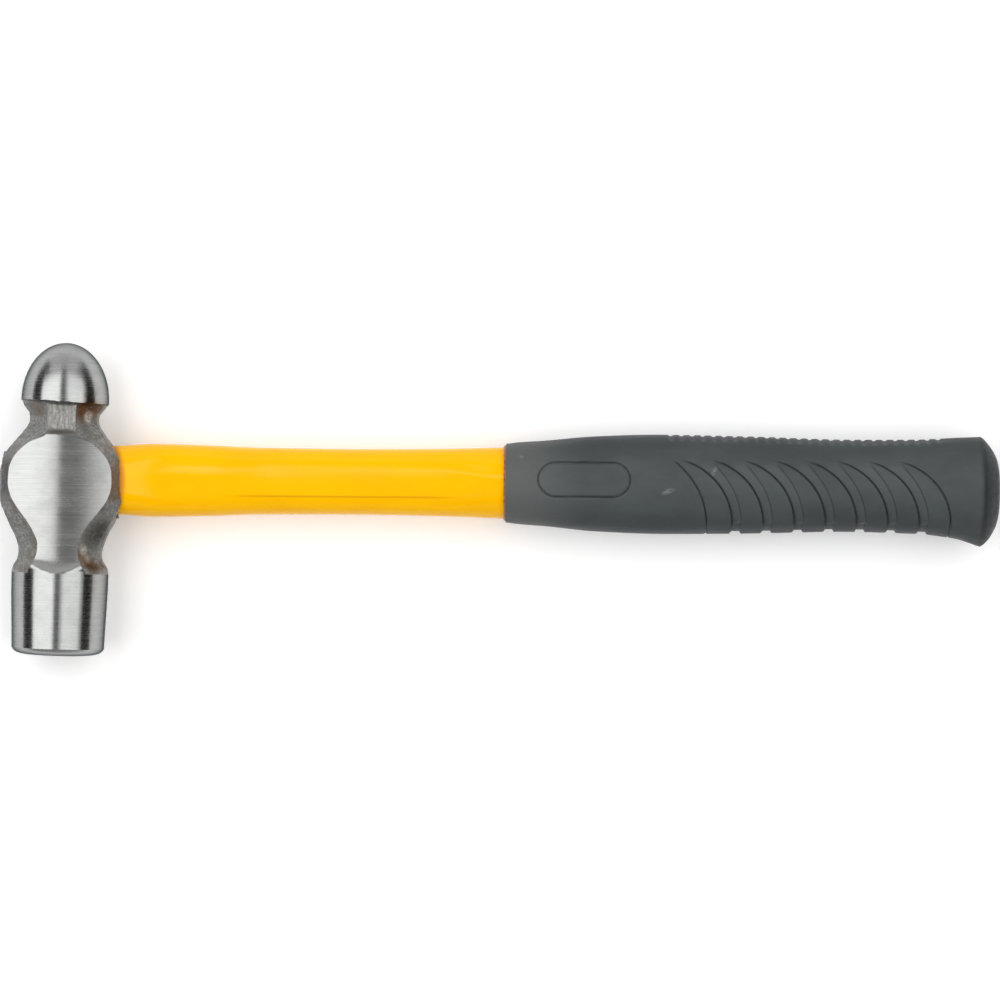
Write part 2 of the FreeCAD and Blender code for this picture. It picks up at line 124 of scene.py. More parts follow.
# Oval sections along the handle: distance from the eye, half height, half width, sag.
JACKET = [
    (13.5, 11.25, 8.15), (19.4, 11.45, 8.25), (30, 12.1, 8.65), (44.5, 11.85, 8.65),
    (66, 11.1, 8.55), (95, 10.9, 8.5), (124, 11.2, 8.65), (144.5, 11.75, 8.8),
]
JACKET_START = 13.5
JACKET_END = 299.0
ROD_HIGH = 9.3
ROD_WIDE = 6.4
SLEEVE = [
    (146.2, 12.8, 9.9, 0), (147.7, 13.2, 10.3, 0), (159.2, 14.15, 11.1, 0),
    (176.7, 15.75, 12.15, 0), (197, 16.4, 12.6, 0), (229, 16.0, 12.4, 0),
    (258, 15.25, 11.95, 0), (281.5, 15.6, 12.35, 0.15), (294, 16.6, 13.1, 0.5),
    (302.9, 18.15, 14.15, 1.65),
]
BUTT_CAP = [
    (303.6, 17.75, 13.75, 1.7), (305.7, 15.55, 11.65, 1.85), (307.0, 13.6, 9.9, 1.75),
    (308.2, 11.1, 8.0, 1.65), (309.0, 7.6, 5.4, 1.5), (309.25, 4.4, 3.1, 1.45),
]
CAP_START = 303.5
TOUCH = 0.02  # kept clear between pieces that touch
SLEEVE_BORE = (12.02, 9.07)
GLUE_OUTSIDE = (12.0, 9.05)
GLUE_INSIDE = (11.78, 8.83)

SEAL_START = 13.6
SEAL_LIMIT = 19.45  # the furthest that the eye's mouth reaches along the handle
SEAL_SUNK = 0.35  # how far the seal lies inside it

# The flat land along both sides of the shaft
LAND = (-5.2, 7.4)  # lower and upper edge, from the handle's axis
LAND_FLATNESS = 0.5  # 1 would make it quite flat
LAND_EDGE = 0.5  # width of the steps at its edges
LAND_PROUD = 0.42  # how far its lower edge stands out
LAND_CREST = 0.2  # how far its upper edge stands out
SHAFT_SQUARE = 2.5  # exponent of the oval: 2 is an ellipse

# The grip's moulded pattern
CHANNEL_PITCH = 10.26
CHANNEL_FIRST = 220.7  # where the first channel's sharp edge runs out over the lower edge
CHANNEL_BEND = 22.2
CHANNEL_BEND_Y = -13.6
CHANNEL_TOP = 8.3
CHANNELS = 7
LEAD_LINE = (184.4, -14.5, 28.0)  # centre and radius of the single line before the channels
BADGE = (172.0, 1.3, 9.4, 5.7)  # centre, half straight length and half height
CHANNEL_WIDTH = 3.1
CHANNEL_DEPTH = 0.95
LEAD_START = 195.0
LINE_DEPTH = 0.4
BADGE_DEPTH = 0.45
RIBS = (199.6, 291.5)  # where the slots between the top's ribs start and end
RIB_FIRST = 200.6
RIB_PITCH = 3.53
RIB_DEPTH = 0.42
NOTCH_OFFSET = 1.5  # from the channel's sharp edge to the middle of its notch
NOTCH_DEPTH = 0.85

# The filling at the eye's far side
PLUG_SWELL = 0.35  # how far the filling swells out of the eye
BEVEL_START = 6.9  # height over the middle plane where the head's side starts to fall back
BEVEL_FALL = 0.69  # and how far it falls back for each millimetre of height

# Stains, and spots of painted shade, painted reflection and painted highlight on the forged steel
STAINS_AND_PAINTED_LIGHT = [  # place in local millimetres, radius, colour, strength
    # the next three, brown on the side towards the handle: the yellow handle's painted reflection,
    # over some rust
    ((8.5, 23.0, 9.5), 6.5, (0.12, 0.05, 0.02), 1.0),
    ((11.8, -27.0, 9.5), 4.6, (0.11, 0.055, 0.025), 0.95),
    ((8.0, -24.5, 11.5), 3.2, (0.15, 0.09, 0.05), 0.7),
    # painted shade on the lower neck, on the side towards the handle
    ((13.5, -17.0, 8.0), 5.5, (0.07, 0.06, 0.05), 0.75),
    ((-9.0, 23.5, 8.5), 4.5, (0.17, 0.13, 0.10), 0.5),
    # painted shade on the slope where the cheek falls to the upper neck
    ((0.0, 15.8, 12.0), 5.5, (0.13, 0.125, 0.11), 0.8),
    # brown beside the eye's mouth: the yellow handle's painted reflection, over some rust
    ((18.8, 0.0, 9.8), 7.5, (0.24, 0.15, 0.08), 0.6),
    # painted shade on the bevel on the side away from the handle
    ((-19.2, 0.5, 9.5), 10.0, (0.07, 0.073, 0.07), 0.8),
    # painted shade on the lower neck, on the side towards the handle
    ((13.0, -18.0, 9.5), 9.0, (0.06, 0.056, 0.05), 0.7),
]
# pale spots of painted highlight, the glints in the brown painted reflections; the steel is made
# less metallic there so that they show
PAINTED_GLINTS = [
    ((9.3, 20.6, 8.2), 3.0, (0.58, 0.57, 0.53), 0.95),
    ((9.6, -23.0, 10.0), 3.2, (0.50, 0.49, 0.46), 0.9),
    ((10.8, -25.4, 9.0), 2.6, (0.50, 0.49, 0.46), 0.8),
]
RUBS = [  # place in local millimetres, angle, length and width
    ((199.4, -2.4, 12.2), 0.35, 3.2, 1.2),
    ((214.6, 4.4, 11.6), 1.1, 2.4, 0.9),
    ((151.2, 8.8, 8.6), -0.4, 1.3, 0.6),
]


def to_row(points, lean=0.0):
    """Local millimetres to metres in the row's frame; the head's axis leans by lean."""
    points = np.asarray(points, float)
    turn = np.array(
        [
            [math.cos(lean), math.sin(lean), 0],
            [-math.sin(lean), math.cos(lean), 0],
            [0, 0, 1],
        ]
    )
    return (points @ turn.T) * MM + np.array(EYE)


def smooth_through(table, column, at, flowing=False):
    """Value of one column of a table, as a smooth curve through its stations.

    It keeps between its stations, unless it is flowing, when it bends more evenly.
    """
    table = np.array(table, float)
    x, y = table[:, 0], table[:, column]
    step = np.diff(x)
    slope = np.diff(y) / step
    tangent = np.zeros_like(y)
    tangent[0], tangent[-1] = slope[0], slope[-1]
    for i in range(1, len(x) - 1):
        if flowing:
            tangent[i] = (slope[i - 1] * step[i] + slope[i] * step[i - 1]) / (step[i] + step[i - 1])
        elif slope[i - 1] * slope[i] > 0:
            w1, w2 = 2 * step[i] + step[i - 1], step[i] + 2 * step[i - 1]
            tangent[i] = (w1 + w2) / (w1 / slope[i - 1] + w2 / slope[i])
    at = np.clip(np.asarray(at, float), x[0], x[-1])
    i = np.clip(np.searchsorted(x, at, side="right") - 1, 0, len(x) - 2)
    t = (at - x[i]) / step[i]
    return (
        (1 + 2 * t) * (1 - t) ** 2 * y[i]
        + t * (1 - t) ** 2 * step[i] * tangent[i]
        + t * t * (3 - 2 * t) * y[i + 1]
        + t * t * (t - 1) * step[i] * tangent[i + 1]
    )


def ease(low, high, value):
    """Smooth step from 0 at low to 1 at high."""
    t = np.clip((np.asarray(value, float) - low) / (high - low), 0, 1)
    return t * t * (3 - 2 * t)


def spaced(stops):
    """Rows from (position, spacing) stops: each span is divided by its own spacing."""
    rows = []
    for (start, spacing), (end, _) in zip(stops, stops[1:]):
        count = max(1, round(abs(end - start) / spacing))
        rows.extend(np.linspace(start, end, count, endpoint=False))
    rows.append(stops[-1][0])
    return np.array(rows)


def skin(name, rings, face_material=None, loop=False, lean=0.0):
    """A closed mesh through rings of points; an open end closes on a pole."""
    rings = np.asarray(rings, float)
    rows, columns = rings.shape[:2]
    points = rings.reshape(-1, 3)
    faces, materials = [], []
    last = rows if loop else rows - 1
    for r in range(last):
        a, b = r * columns, (r + 1) % rows * columns
        for c in range(columns):
            d = (c + 1) % columns
            faces.append((a + c, a + d, b + d, b + c))
            materials.append(face_material(r, c) if face_material else 0)
    if not loop:
        for row in (0, rows - 1):
            centre = len(points)
            points = np.vstack([points, rings[row].mean(0)])
            base = row * columns
            for c in range(columns):
                d = (c + 1) % columns
                if row == 0:
                    faces.append((centre, base + d, base + c))
                else:
                    faces.append((centre, base + c, base + d))
                near = min(row, rows - 2)
                materials.append(face_material(near, c) if face_material else 0)
    mesh = bpy.data.meshes.new(name)
    mesh.from_pydata(to_row(points, lean).tolist(), [], faces)
    mesh.polygons.foreach_set("material_index", materials)
    mesh.polygons.foreach_set("use_smooth", [True] * len(faces))
    mesh.update()
    thing = bpy.data.objects.new(name, mesh)
    bpy.context.scene.collection.objects.link(thing)
    return thing


def sharpen(thing, degrees):
    """Marks the edges that turn by more than the angle as sharp."""
    bm = bmesh.new()
    bm.from_mesh(thing.data)
    bmesh.ops.recalc_face_normals(bm, faces=bm.faces)
    limit = math.radians(degrees)
    for edge in bm.edges:
        edge.smooth = len(edge.link_faces) == 2 and edge.calc_face_angle(0) < limit
    bm.to_mesh(thing.data)
    bm.free()


def piece(thing, node, slot, *materials):
    """The piece stands for its CAD node, with the given materials; slot is not used."""
    for material in materials:
        thing.data.materials.append(material)
    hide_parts(node)
    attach(thing, "root")
    return thing


# Materials


class Nodes:
    """A material's node tree, with shaders made in a few words."""

    def __init__(self, name):
        self.material = bpy.data.materials.new(name)
        self.material.use_nodes = True
        self.tree = self.material.node_tree
        self.tree.nodes.clear()
        self.shader = self.add("BsdfPrincipled")
        out = self.add("OutputMaterial")
        self.link(self.shader.outputs[0], out.inputs["Surface"])
        self.place = self.add("TexCoord").outputs["Object"]
        self.normal = None

    def add(self, kind, **settings):
        node = self.tree.nodes.new("ShaderNode" + kind)
        for key, value in settings.items():
            setattr(node, key, value)
        return node

    def link(self, source, socket):
        self.tree.links.new(source, socket)

    def feed(self, socket, value):
        if isinstance(value, bpy.types.NodeSocket):
            self.link(value, socket)
        else:
            socket.default_value = value

    def stretched(self, scale, turn=0.0, move=(0, 0, 0)):
        """The object's own coordinates in millimetres, scaled per axis."""
        node = self.add("Mapping")
        self.link(self.place, node.inputs["Vector"])
        node.inputs["Scale"].default_value = [s / MM for s in scale]
        node.inputs["Rotation"].default_value = (0, 0, turn)
        node.inputs["Location"].default_value = move
        return node.outputs[0]

    def noise(self, vector, detail=3.0, rough=0.55, distort=0.0):
        node = self.add("TexNoise")
        self.link(vector, node.inputs["Vector"])
        node.inputs["Scale"].default_value = 1.0
        node.inputs["Detail"].default_value = detail
        node.inputs["Roughness"].default_value = rough
        node.inputs["Distortion"].default_value = distort
        return node.outputs["Fac"]

    def ramp(self, value, low, high, out_low=0.0, out_high=1.0):
        node = self.add("MapRange", interpolation_type="SMOOTHSTEP")
        self.feed(node.inputs["Value"], value)
        for key, number in (
            ("From Min", low),
            ("From Max", high),
            ("To Min", out_low),
            ("To Max", out_high),
        ):
            node.inputs[key].default_value = number
        return node.outputs["Result"]

    def math(self, operation, a, b=0.0):
        node = self.add("Math", operation=operation)
        self.feed(node.inputs[0], a)
        self.feed(node.inputs[1], b)
        return node.outputs[0]

    def mix(self, factor, a, b):
        node = self.add("Mix", data_type="RGBA")
        self.feed(node.inputs["Factor"], factor)
        sockets = [s for s in node.inputs if s.type == "RGBA"]
        for socket, value in zip(sockets, (a, b)):
            self.feed(socket, value if isinstance(value, bpy.types.NodeSocket) else (*value, 1))
        return [s for s in node.outputs if s.type == "RGBA"][0]

    def spot(self, centre, radius, lean=0.0):
        """1 at a place on the object given in local millimetres, 0 beyond the radius."""
        node = self.add("VectorMath", operation="DISTANCE")
        self.link(self.place, node.inputs[0])
        node.inputs[1].default_value = to_row([centre], lean)[0].tolist()
        return self.ramp(node.outputs["Value"], radius * MM, radius * MM * 0.35)

    def smear(self, centre, turn, length, width):
        """As spot, for a long smear turned about Z."""
        move = self.add("VectorMath", operation="SUBTRACT")
        self.link(self.place, move.inputs[0])
        move.inputs[1].default_value = to_row([centre])[0].tolist()
        shape = self.add("Mapping", vector_type="TEXTURE")
        self.link(move.outputs[0], shape.inputs["Vector"])
        shape.inputs["Rotation"].default_value = (0, 0, turn)
        shape.inputs["Scale"].default_value = (length * MM, width * MM, length * MM)
        reach = self.add("VectorMath", operation="LENGTH")
        self.link(shape.outputs[0], reach.inputs[0])
        return self.ramp(reach.outputs["Value"], 1.0, 0.2)

    def bump(self, height, strength, distance):
        node = self.add("Bump")
        node.inputs["Strength"].default_value = strength
        node.inputs["Distance"].default_value = distance * MM
        self.link(height, node.inputs["Height"])
        if self.normal is not None:
            self.link(self.normal, node.inputs["Normal"])
        self.normal = node.outputs[0]
        self.link(self.normal, self.shader.inputs["Normal"])

    def brush_round(self, axis):
        """Draws the highlights out across lines that run round an axis."""
        tangent = self.add("Tangent", direction_type="RADIAL", axis=axis)
        self.link(tangent.outputs[0], self.shader.inputs["Tangent"])

    def set(self, **values):
        for key, value in values.items():
            name = key.replace("_", " ")
            self.feed(self.shader.inputs[name], (*value, 1) if isinstance(value, tuple) else value)


def turned_steel():
    """Poll and peen: turned, then brushed round the head's axis."""
    n = Nodes("turned_steel")
    lines = n.noise(n.stretched((0.05, 2.8, 0.05), HEAD_LEAN), 4, 0.7)
    broad = n.noise(n.stretched((0.02, 0.7, 0.02), HEAD_LEAN, (3, 0, 0)), 2)
    cloud = n.noise(n.stretched((0.22, 0.22, 0.22), 0, (9, 0, 0)), 4, 0.6)
    pit = n.ramp(n.noise(n.stretched((1.6, 1.6, 1.6), 0, (5, 0, 0)), 2, 0.6), 0.70, 0.78)
    tone = n.mix(n.ramp(lines, 0.3, 0.7), (0.335, 0.34, 0.335), (0.41, 0.415, 0.41))
    tone = n.mix(n.ramp(cloud, 0.42, 0.72, 0, 0.3), tone, (0.30, 0.305, 0.30))
    tone = n.mix(n.math("MULTIPLY", pit, 0.5), tone, (0.18, 0.175, 0.17))
    rust = n.math("MULTIPLY", n.spot((9, 25.8, 10), 5.0, HEAD_LEAN), n.ramp(cloud, 0.35, 0.6))
    tone = n.mix(n.math("MULTIPLY", rust, 0.8), tone, (0.16, 0.08, 0.035))
    wear = n.math("ADD", lines, n.math("MULTIPLY", cloud, 0.6))
    n.set(
        Base_Color=tone,
        Metallic=1.0,
        Roughness=n.ramp(wear, 0.5, 1.1, 0.22, 0.3),
        Specular_Tint=(0.18, 0.2, 0.21),
        Anisotropic=0.8,
        Anisotropic_Rotation=0.25,
    )
    n.brush_round("Y")
    n.bump(lines, 0.3, 0.008)
    n.bump(broad, 0.2, 0.02)
    n.bump(cloud, 0.15, 0.05)
    return n.material


def ground_steel():
    """Cheeks: ground flat across the head, so the lines run along the handle."""
    n = Nodes("ground_steel")
    lines = n.noise(n.stretched((0.05, 5.0, 0.05), 0.05), 4, 0.65)
    long = n.noise(n.stretched((0.025, 1.2, 0.3), 0.03, (4, 0, 0)), 2)
    cloud = n.noise(n.stretched((0.12, 0.2, 0.2), 0, (2, 7, 0)), 4, 0.6)
    tone = n.mix(n.ramp(lines, 0.3, 0.7), (0.345, 0.35, 0.342), (0.41, 0.415, 0.405))
    tone = n.mix(n.ramp(cloud, 0.45, 0.75, 0, 0.3), tone, (0.27, 0.272, 0.262))
    n.set(
        Base_Color=tone,
        Metallic=1.0,
        Roughness=n.ramp(n.math("ADD", lines, cloud), 0.7, 1.3, 0.2, 0.28),
        Anisotropic=0.6,
        Anisotropic_Rotation=0.25,
    )
    n.brush_round("Y")
    n.bump(lines, 0.3, 0.010)
    n.bump(long, 0.2, 0.03)
    return n.material


def forged_steel():
    """Scale left by the forge: mottled grey with brown stains, and spots of painted shade, of the
    yellow handle's painted reflection in the hollows towards it and of painted highlight.
    """
    n = Nodes("forged_steel")
    cloud = n.noise(n.stretched((0.35, 0.35, 0.35)), 5, 0.6)
    grain = n.noise(n.stretched((1.3, 1.3, 1.3), 0, (3, 3, 3)), 4, 0.65)
    speck = n.ramp(n.noise(n.stretched((2.2, 2.2, 2.2), 0, (8, 1, 4)), 3, 0.6), 0.5, 0.68)
    tone = n.mix(n.ramp(grain, 0.35, 0.65), (0.165, 0.165, 0.158), (0.345, 0.348, 0.336))
    tone = n.mix(n.ramp(cloud, 0.42, 0.68, 0, 0.6), tone, (0.155, 0.152, 0.142))
    tone = n.mix(n.math("MULTIPLY", speck, 0.45), tone, (0.065, 0.058, 0.05))
    brown = n.noise(n.stretched((0.16, 0.16, 0.16), 0, (1, 6, 2)), 4, 0.6)
    tone = n.mix(n.ramp(brown, 0.5, 0.68, 0, 0.45), tone, (0.16, 0.10, 0.06))
    # stains and spots of painted shade, painted reflection and painted highlight; the steel is less
    # metallic under the painted highlights
    pale = 0.0
    for patch in STAINS_AND_PAINTED_LIGHT + PAINTED_GLINTS:
        centre, radius, colour, amount = patch
        mask = n.math("MULTIPLY", n.spot(centre, radius, HEAD_LEAN), n.ramp(grain, 0.36, 0.5))
        tone = n.mix(n.math("MULTIPLY", mask, amount), tone, colour)
        if patch in PAINTED_GLINTS:
            pale = n.math("MAXIMUM", mask, pale)
    n.set(
        Base_Color=tone,
        Metallic=n.ramp(pale, 0, 1, 0.75, 0.2),
        Roughness=n.ramp(grain, 0.3, 0.7, 0.42, 0.6),
    )
    n.bump(cloud, 0.5, 0.25)
    n.bump(grain, 0.6, 0.18)
    return n.material


def filed_steel():
    """The flat between the cheek and the peen: bare, scratched and dull."""
    n = Nodes("filed_steel")
    lines = n.noise(n.stretched((0.2, 3.0, 0.2), 0.35, (6, 0, 0)), 4, 0.7)
    cross = n.noise(n.stretched((1.4, 0.25, 0.3), 0.5, (2, 1, 0)), 3, 0.6)
    grain = n.noise(n.stretched((1.2, 1.2, 1.2), 0, (4, 4, 0)), 3, 0.6)
    tone = n.mix(n.ramp(cross, 0.35, 0.65), (0.21, 0.206, 0.19), (0.32, 0.32, 0.305))
    tone = n.mix(n.ramp(grain, 0.48, 0.7, 0, 0.6), tone, (0.16, 0.152, 0.135))
    n.set(Base_Color=tone, Metallic=0.9, Roughness=n.ramp(lines, 0.3, 0.7, 0.36, 0.5))
    n.bump(grain, 0.4, 0.12)
    n.bump(cross, 0.3, 0.05)
    return n.material


def yellow_plastic():
    """Glossy moulded jacket, a little darker and redder where it meets the steel and the grip:
    painted shade, with a painted reflection of the dark steel at the head end, and a painted shade
    line along the land's lower edge.
    """
    n = Nodes("yellow_plastic")
    cloud = n.noise(n.stretched((0.06, 0.12, 0.12)), 3)
    flow = n.noise(n.stretched((0.05, 0.9, 0.9), 0, (2, 0, 0)), 3)
    dust = n.ramp(n.noise(n.stretched((1.7, 1.7, 1.7), 0, (7, 0, 0)), 2), 0.68, 0.8)
    along = n.add("SeparateXYZ")
    n.link(n.place, along.inputs[0])
    x = along.outputs["X"]
    tone = n.mix(n.ramp(cloud, 0.35, 0.65), (0.93, 0.46, 0.0), (0.95, 0.485, 0.0))
    across = n.math("SUBTRACT", along.outputs["Y"], EYE.y)
    out = n.math("SUBTRACT", x, EYE.x)
    reach = n.math("ADD", n.math("MULTIPLY", out, out), n.math("MULTIPLY", across, across))
    # painted shade at the head end, with a painted reflection of the dark steel, and painted shade
    # where the jacket goes into the grip
    painted_head_shade = n.ramp(n.math("SQRT", reach), 22.3 * MM, 19.8 * MM)
    painted_grip_shade = n.ramp(x, EYE.x + 143.5 * MM, EYE.x + 146 * MM)
    tone = n.mix(n.math("MULTIPLY", painted_head_shade, 0.9), tone, (0.50, 0.17, 0.02))
    tone = n.mix(n.math("MULTIPLY", painted_grip_shade, 0.6), tone, (0.75, 0.30, 0.0))
    # painted shade along the crease at the land's lower edge
    below = n.math("SUBTRACT", across, (LAND[0] + LAND_EDGE / 2) * MM)
    crease_shade = n.ramp(n.math("ABSOLUTE", below), 0.5 * MM, 0.15 * MM)
    crease_shade = n.math("MULTIPLY", crease_shade, n.ramp(out, 54 * MM, 66 * MM))
    crease_shade = n.math("MULTIPLY", crease_shade, n.ramp(out, 136 * MM, 118 * MM))
    tone = n.mix(n.math("MULTIPLY", crease_shade, 0.4), tone, (0.62, 0.24, 0.0))
    tone = n.mix(n.math("MULTIPLY", dust, 0.2), tone, (0.8, 0.42, 0.03))
    n.set(
        Base_Color=tone,
        Roughness=n.ramp(flow, 0.3, 0.7, 0.08, 0.14),
        Specular_IOR_Level=0.17,
    )
    n.bump(flow, 0.12, 0.04)
    n.bump(cloud, 0.25, 0.15)
    return n.material


def grip_rubber():
    """Matte slate rubber with a fine moulded texture and a few pale rubs, with painted shade on its
    sides, in its moulded lines and on the butt's end, and painted highlight near the mouth and on
    the channel floors.
    """
    n = Nodes("grip_rubber")
    cloud = n.noise(n.stretched((0.05, 0.09, 0.09)), 4, 0.55)
    grain = n.noise(n.stretched((3.2, 3.2, 3.2), 0, (4, 0, 0)), 3, 0.6)
    flow = n.noise(n.stretched((0.06, 0.6, 0.6), 0, (1, 2, 0)), 3)
    scuff = n.ramp(n.noise(n.stretched((0.9, 1.6, 1.6), 0.6, (9, 2, 0)), 3, 0.7), 0.66, 0.76)
    along = n.add("SeparateXYZ")
    n.link(n.place, along.inputs[0])
    tone = n.mix(n.ramp(cloud, 0.32, 0.68), (0.048, 0.056, 0.058), (0.062, 0.072, 0.075))
    # painted shade: darker on the sides that turn away from the lights above
    height = n.math("ABSOLUTE", n.math("SUBTRACT", along.outputs["Z"], EYE.z))
    tone = n.mix(n.ramp(height, 11.5 * MM, 6.0 * MM, 0, 0.55), tone, (0.022, 0.026, 0.027))
    # painted highlight: lighter towards the mouth
    front = n.ramp(along.outputs["X"], EYE.x + 176 * MM, EYE.x + 148 * MM)
    tone = n.mix(n.math("MULTIPLY", front, 0.7), tone, (0.12, 0.125, 0.12))
    # painted shade: darker on the butt's end
    butt = n.ramp(along.outputs["X"], EYE.x + 301.5 * MM, EYE.x + 304 * MM)
    tone = n.mix(n.math("MULTIPLY", butt, 0.9), tone, (0.009, 0.011, 0.012))
    tone = n.mix(n.math("MULTIPLY", scuff, 0.22), tone, (0.19, 0.19, 0.175))
    tone = n.mix(n.ramp(grain, 0.35, 0.65, 0, 0.25), tone, (0.045, 0.052, 0.054))
    scratch = n.noise(n.stretched((0.8, 2.4, 2.4), 0.5, (2, 2, 0)), 3, 0.7)
    for centre, turn, length, width in RUBS:
        mask = n.math("MULTIPLY", n.smear(centre, turn, length, width), n.ramp(scratch, 0.3, 0.6))
        tone = n.mix(n.math("MULTIPLY", mask, 0.5), tone, (0.26, 0.26, 0.24))
    # painted light on the channel floors, painted shade in the moulded lines and the badge's
    # outline
    crease_shade, painted_light_band = crease_masks(n)
    tone = n.mix(n.math("MULTIPLY", painted_light_band, 0.16), tone, (0.11, 0.122, 0.125))
    tone = n.mix(n.math("MULTIPLY", crease_shade, 0.8), tone, (0.008, 0.010, 0.011))
    wear = n.math("ADD", flow, n.math("MULTIPLY", grain, 0.3))
    n.set(
        Base_Color=tone,
        Roughness=n.ramp(wear, 0.45, 0.85, 0.44, 0.58),
        Specular_IOR_Level=0.24,
    )
    n.bump(grain, 0.35, 0.05)
    n.bump(flow, 0.2, 0.08)
    n.bump(crease_shade, -0.6, 0.3)
    return n.material


def crease_masks(n):
    """Masks for the painted shade in the grip's moulded lines, and for the painted light on the
    bands that the channels leave beside them.
    """
    place = n.add("SeparateXYZ")
    n.link(n.stretched((1, 1, 1), 0, [-v / MM for v in EYE]), place.inputs[0])
    x, y = place.outputs["X"], place.outputs["Y"]
    rise = n.math("SUBTRACT", y, CHANNEL_BEND_Y)
    square = n.math("SUBTRACT", CHANNEL_BEND**2, n.math("MULTIPLY", rise, rise))
    bend = n.math("SQRT", n.math("MAXIMUM", square, 4.0))
    along = n.math("SUBTRACT", n.math("ADD", x, CHANNEL_BEND - CHANNEL_FIRST), bend)
    lean = n.math("MULTIPLY", bend, 1 / CHANNEL_BEND)
    off = n.math("MULTIPLY", n.math("PINGPONG", along, CHANNEL_PITCH / 2), lean)
    start, end = -CHANNEL_PITCH / 2, (CHANNELS + 0.5) * CHANNEL_PITCH
    keep = n.math("MULTIPLY", n.ramp(along, start, start + 0.1), n.ramp(along, end, end - 0.1))
    channels = n.math("MULTIPLY", n.ramp(off, 0.48, 0.12), keep)
    past = n.math("MULTIPLY", n.math("FLOORED_MODULO", along, CHANNEL_PITCH), lean)
    painted_light_band = n.math("MULTIPLY", n.ramp(past, 0.3, 0.7), n.ramp(past, 3.0, 2.6))
    faint = n.math("MULTIPLY", n.ramp(past, 2.7, 3.0), n.ramp(past, 3.4, 3.1))
    end = CHANNELS * CHANNEL_PITCH
    inner = n.math("MULTIPLY", n.ramp(along, 0, 0.1), n.ramp(along, end, end - 0.1))
    inner = n.math("MULTIPLY", inner, n.ramp(y, CHANNEL_TOP - 0.5, CHANNEL_TOP - 3.5))
    inner = n.math("MULTIPLY", inner, n.ramp(y, -14.0, -9.0))
    painted_light_band = n.math("MULTIPLY", painted_light_band, inner)
    faint = n.math("MULTIPLY", n.math("MULTIPLY", faint, inner), 0.6)
    channels = n.math("MAXIMUM", channels, faint)
    centre_x, centre_y, radius = LEAD_LINE
    from_x, from_y = n.math("SUBTRACT", x, centre_x), n.math("SUBTRACT", y, centre_y)
    lead = circle_line(n, from_x, from_y, radius)
    lead = n.math("MULTIPLY", lead, n.ramp(x, LEAD_START, LEAD_START + 1))
    curved = n.math("MAXIMUM", channels, lead)
    curved = n.math("MULTIPLY", curved, n.ramp(y, CHANNEL_TOP, CHANNEL_TOP - 1.5))
    curved = n.math("MULTIPLY", curved, n.ramp(y, -14.5, -12.0))
    centre_x, centre_y, straight, half = BADGE
    side = n.math("ABSOLUTE", n.math("SUBTRACT", x, centre_x))
    side = n.math("MAXIMUM", n.math("SUBTRACT", side, straight), 0.0)
    badge = circle_line(n, side, n.math("SUBTRACT", y, centre_y), half)
    return n.math("MAXIMUM", curved, n.math("MULTIPLY", badge, 0.75)), painted_light_band


def circle_line(n, x, y, radius):
    """1 on the circle of this radius about x = y = 0."""
    reach = n.math("ADD", n.math("MULTIPLY", x, x), n.math("MULTIPLY", y, y))
    off = n.math("ABSOLUTE", n.math("SUBTRACT", n.math("SQRT", reach), radius))
    return n.ramp(off, 0.45, 0.1)


def dull(name, low, high, roughness, scale):
    """A plain mottled material between two colours."""
    n = Nodes(name)
    cloud = n.noise(n.stretched((scale, scale, scale)), 4, 0.6)
    n.set(
        Base_Color=n.mix(n.ramp(cloud, 0.35, 0.65), low, high),
        Roughness=n.ramp(cloud, 0.3, 0.7, roughness - 0.06, roughness + 0.06),
    )
    n.bump(cloud, 0.4, 0.1)
    return n.material


def fibreglass():
    """Pale glass strands along the rod, set in amber resin."""
    n = Nodes("fibreglass")
    strands = n.noise(n.stretched((0.02, 2.4, 2.4)), 3, 0.6)
    n.set(
        Base_Color=n.mix(n.ramp(strands, 0.35, 0.65), (0.55, 0.42, 0.2), (0.74, 0.66, 0.44)),
        Roughness=n.ramp(strands, 0.3, 0.7, 0.35, 0.5),
    )
    n.bump(strands, 0.4, 0.05)
    return n.material


# Head

FLANK_STEPS, BEVEL_STEPS, CHEEK_STEPS = 8, 11, 26
QUARTER_STEPS = FLANK_STEPS + BEVEL_STEPS + CHEEK_STEPS
TURNED, GROUND, FORGED, FILED = range(4)  # the head's materials


def section(y):
    """One closed ring of the head at y."""
    if y >= PEEN_RIM or y <= POLL_SHOULDER:
        radius = turned_radius(y)
        flank = min(float(smooth_through(FLANK_HEIGHT, 1, y)), radius * 0.42)
        edge = min(float(smooth_through(CHEEK_EDGE, 1, y)), radius * 0.6)
        side, top, roundness = radius, radius, 1.0
    else:
        side = float(smooth_through(SIDE, 1, y, flowing=True))
        edge = float(smooth_through(CHEEK_EDGE, 1, y))
        top = float(smooth_through(CROWN_HEIGHT, 1, y))
        flank = float(smooth_through(FLANK_HEIGHT, 1, y))
        if y < WHEEL_START:
            top += WHEEL_RADIUS - math.sqrt(WHEEL_RADIUS**2 - (WHEEL_START - y) ** 2)
        if y > UNDERCUT_END:
            grow = (y - UNDERCUT_END) / (PEEN_RIM - UNDERCUT_END)
            side += grow * (PEEN_RADIUS - 0.15 - side)
            roundness = float(ease(0.6, 1.0, grow))
        else:
            roundness = float(ease(-27.6, -30.2, y))
    ridge = float(ease(-29.5, -26, y) * (1 - ease(GRIND_TOP, FILED_FROM, y)))
    ground = POLL_SHOULDER < y < WHEEL_START
    right = quarter(side, flank, edge, top, roundness, 1, ridge, ground)
    left = quarter(side, flank, edge, top, roundness, -1, ridge, ground)
    upper = np.vstack([right, left[::-1][1:]])
    lower = upper[::-1][1:-1] * (1, -1)
    ring = np.vstack([upper, lower])
    return np.column_stack([ring[:, 0], np.full(len(ring), y), ring[:, 1]])


